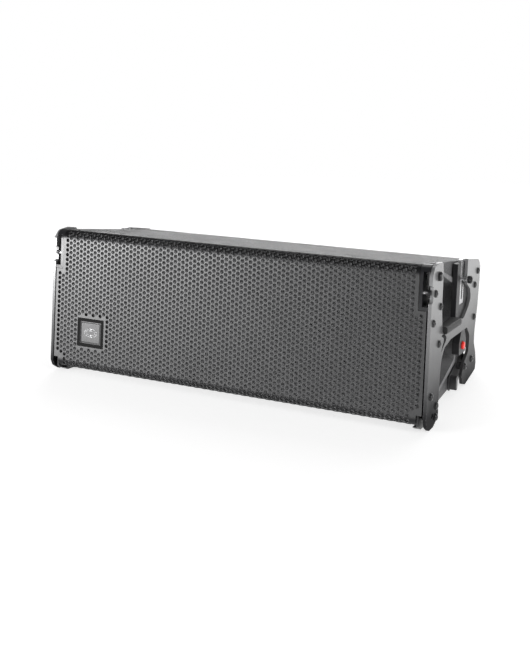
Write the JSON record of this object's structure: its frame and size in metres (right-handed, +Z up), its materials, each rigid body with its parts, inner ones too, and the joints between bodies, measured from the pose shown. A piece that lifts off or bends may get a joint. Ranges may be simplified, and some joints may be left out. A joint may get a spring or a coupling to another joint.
{
  "type": "line array speaker module",
  "caption": "Wedge-shaped line array speaker module with a full-width perforated grille, side rigging plates, sliding links, quick-release pins and a rear amplifier.",
  "frame": {"origin": "bottom centre of the whole object: the middle of its width and depth, level with the front feet", "axes": "+X to the module's right seen from behind the viewer facing the grille, +Y to the back, +Z up; the grille faces -Y"},
  "size_m": [0.814, 0.38, 0.2926],
  "materials": {
    "texture_paint": "coarse textured black paint",
    "plywood": "bare plywood",
    "grille_paint": "satin dark grey powder coat",
    "grille_foam": "open-cell foam",
    "badge": "satin black",
    "black_plastic": "satin black",
    "cup_texture": "textured black",
    "rubber": "matt",
    "cast_aluminium": "as cast",
    "magnet": "painted",
    "paper_cone": "matt paper",
    "amp_panel": "satin black",
    "anodised": "black anodised",
    "display": "glossy",
    "circuit_board": "solder mask",
    "copper_winding": "enamelled wire",
    "plate_paint": "satin grey powder coat",
    "black_steel": "blackened",
    "link_steel": "satin black",
    "bright_steel": "brushed",
    "red_button": "gloss red"
  },
  "bodies": {
    "cabinet": {"cabinet_shell": "texture_paint", "front_baffle": "plywood", "cabinet_brace_left": "plywood", "cabinet_brace_right": "plywood", "grille": "grille_paint", "grille_foam": "grille_foam", "badge_plate": "badge", "horn_waveguide": "black_plastic", "compression_driver_upper": "magnet", "compression_driver_lower": "magnet", "amp_panel": "amp_panel", "heatsink": "anodised", "mains_inlet": "black_plastic", "mains_outlet": "black_plastic", "signal_input": "black_plastic", "signal_output": "black_plastic", "display_window": "display", "amp_board": "circuit_board", "power_transformer": "copper_winding", "corner_block_left": "black_plastic", "corner_block_right": "black_plastic", "handle_cup_left": "cup_texture", "handle_cup_right": "cup_texture", "handle_grip_left": "rubber", "handle_grip_right": "rubber", "rigging_plate_left": "plate_paint", "rigging_plate_right": "plate_paint", "front_fork_left": "black_steel", "front_fork_right": "black_steel", "link_guide_left": "black_plastic", "link_guide_right": "black_plastic", "rear_fork_left": "black_steel", "rear_fork_right": "black_steel", "lock_housing_left": "black_plastic", "lock_housing_right": "black_plastic", "woofer_basket_left": "cast_aluminium", "woofer_basket_right": "cast_aluminium", "woofer_magnet_left": "magnet", "woofer_magnet_right": "magnet", "woofer_surround_left": "rubber", "woofer_surround_right": "rubber"},
    "front_link_left": {"front_link_left": "link_steel"},
    "front_link_right": {"front_link_right": "link_steel"},
    "front_link_pin_left": {"front_link_pin_left": "black_steel"},
    "front_link_pin_right": {"front_link_pin_right": "black_steel"},
    "rear_link_left": {"rear_link_left": "bright_steel"},
    "rear_link_right": {"rear_link_right": "bright_steel"},
    "rear_link_pin_left": {"rear_link_pin_left": "bright_steel"},
    "rear_link_pin_right": {"rear_link_pin_right": "bright_steel"},
    "release_button_left": {"release_button_left": "red_button"},
    "release_button_right": {"release_button_right": "red_button"},
    "woofer_cone_left": {"woofer_cone_left": "paper_cone"},
    "woofer_cone_right": {"woofer_cone_right": "paper_cone"},
    "menu_knob": {"menu_knob": "black_plastic"},
    "power_switch": {"power_switch": "black_plastic"}
  },
  "joints": [
    {"name": "front_link_slide_left", "type": "slide", "parent": "cabinet", "child": "front_link_left", "axis": [0, 0, 1], "range_m": [0, 0.03]},
    {"name": "front_link_pin_pull_left", "type": "slide", "parent": "cabinet", "child": "front_link_pin_left", "axis": [-1, 0, 0], "range_m": [0, 0.02]},
    {"name": "rear_link_slide_left", "type": "slide", "parent": "cabinet", "child": "rear_link_left", "axis": [0, 0, 1], "range_m": [0, 0.036]},
    {"name": "rear_link_pin_pull_left", "type": "slide", "parent": "cabinet", "child": "rear_link_pin_left", "axis": [-1, 0, 0], "range_m": [0, 0.02]},
    {"name": "release_button_press_left", "type": "slide", "parent": "cabinet", "child": "release_button_left", "axis": [1, 0, 0], "range_m": [0, 0.003], "stiffness_N_per_m": 400},
    {"name": "woofer_cone_stroke_left", "type": "slide", "parent": "cabinet", "child": "woofer_cone_left", "axis": [0, -1, 0], "range_m": [-0.004, 0.004], "stiffness_N_per_m": 3000},
    {"name": "front_link_slide_right", "type": "slide", "parent": "cabinet", "child": "front_link_right", "axis": [0, 0, 1], "range_m": [0, 0.03]},
    {"name": "front_link_pin_pull_right", "type": "slide", "parent": "cabinet", "child": "front_link_pin_right", "axis": [1, 0, 0], "range_m": [0, 0.02]},
    {"name": "rear_link_slide_right", "type": "slide", "parent": "cabinet", "child": "rear_link_right", "axis": [0, 0, 1], "range_m": [0, 0.036]},
    {"name": "rear_link_pin_pull_right", "type": "slide", "parent": "cabinet", "child": "rear_link_pin_right", "axis": [1, 0, 0], "range_m": [0, 0.02]},
    {"name": "release_button_press_right", "type": "slide", "parent": "cabinet", "child": "release_button_right", "axis": [-1, 0, 0], "range_m": [0, 0.003], "stiffness_N_per_m": 400},
    {"name": "woofer_cone_stroke_right", "type": "slide", "parent": "cabinet", "child": "woofer_cone_right", "axis": [0, -1, 0], "range_m": [-0.004, 0.004], "stiffness_N_per_m": 3000},
    {"name": "menu_knob_turn", "type": "hinge", "parent": "cabinet", "child": "menu_knob", "pos_m": [-0.115, 0.1586, 0.182], "axis": [0, 1, 0], "continuous": true},
    {"name": "power_switch_rock", "type": "hinge", "parent": "cabinet", "child": "power_switch", "pos_m": [-0.16, 0.157, 0.182], "axis": [1, 0, 0], "range_deg": [-8, 8]}
  ]
}
